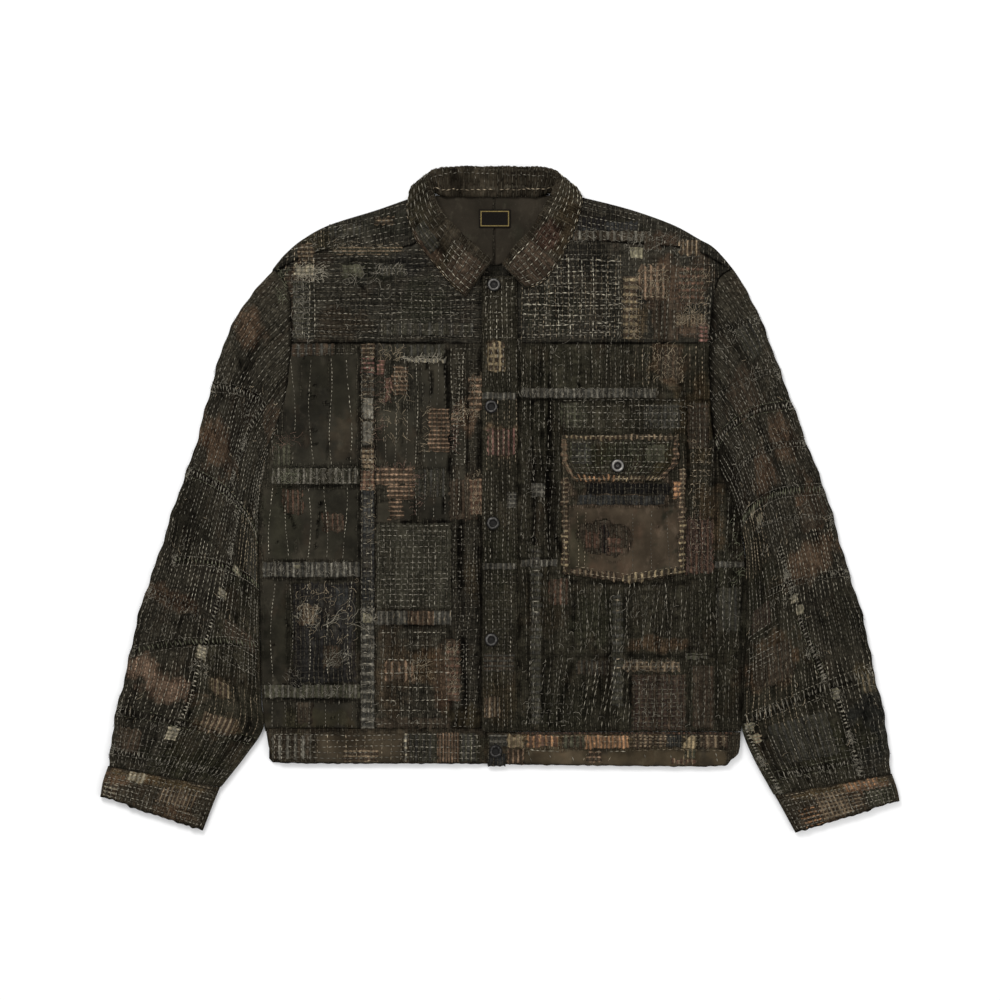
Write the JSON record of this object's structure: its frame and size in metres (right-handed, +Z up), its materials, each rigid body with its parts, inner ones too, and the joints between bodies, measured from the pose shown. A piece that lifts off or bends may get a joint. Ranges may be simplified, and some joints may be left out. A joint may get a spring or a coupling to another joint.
{
  "type": "patched boro work jacket",
  "caption": "Hip-length work jacket of layered cotton patches and running stitch, shirt collar, button front, chest pocket and cuffs, laid flat.",
  "frame": {"origin": "centre of the jacket's outline on the surface it lies on", "axes": "+X towards the wearer's left sleeve, +Y towards the collar, +Z up from the surface"},
  "size_m": [0.92, 0.765, 0.0202],
  "materials": {
    "cloth_charcoal": "matte hand-worked cotton, charcoal",
    "cloth_olive": "matte hand-worked cotton, olive grey",
    "cloth_slate": "matte hand-worked cotton, slate",
    "cloth_brown": "matte hand-worked cotton, brown",
    "patch_rust": "ribbed cotton patch, faded rust",
    "patch_tan": "cotton strip, tan with cross bars",
    "patch_grey": "cotton strip with light bars",
    "patch_wine": "checked cotton patch, dark wine",
    "lining": "plain cotton lining, dark brown olive",
    "label": "woven label, black, bare",
    "button_metal": "dark antiqued metal, worn bright on the rim"
  },
  "bodies": {
    "root": {"back": "cloth_charcoal", "back_yoke": "cloth_slate", "neck_lining": "lining", "neck_label": "label", "front_right": "cloth_charcoal", "front_left": "cloth_olive", "front_yoke_right": "cloth_slate", "front_yoke_left": "cloth_slate", "placket": "cloth_olive", "pocket": "cloth_olive", "pocket_flap": "cloth_brown", "waistband_right": "cloth_brown", "waistband_left": "cloth_brown", "waistband_back": "cloth_brown", "sleeve_top_right": "cloth_charcoal", "sleeve_under_right": "cloth_olive", "sleeve_top_left": "cloth_charcoal", "sleeve_under_left": "cloth_olive", "cuff_right": "cloth_brown", "cuff_left": "cloth_brown", "collar": "cloth_brown", "ladder_strip_right": "patch_tan", "bar_strip_upper_right": "patch_grey", "bar_strip_middle_right": "patch_grey", "bar_strip_lower_right": "patch_grey", "ribbed_patch_low": "patch_rust", "ribbed_patch_high": "patch_rust", "cross_stitched_panel": "cloth_olive", "bar_strip_centre": "patch_grey", "checked_patch_left": "patch_wine", "brown_strip_left": "cloth_brown", "panel_strip_left": "patch_rust", "pocket_strip_dark": "cloth_slate", "pocket_strip_barred": "patch_grey", "button_neck": "button_metal", "button_chest": "button_metal", "button_middle": "button_metal", "button_low": "button_metal", "button_waistband": "button_metal", "button_pocket": "button_metal"}
  },
  "joints": []
}
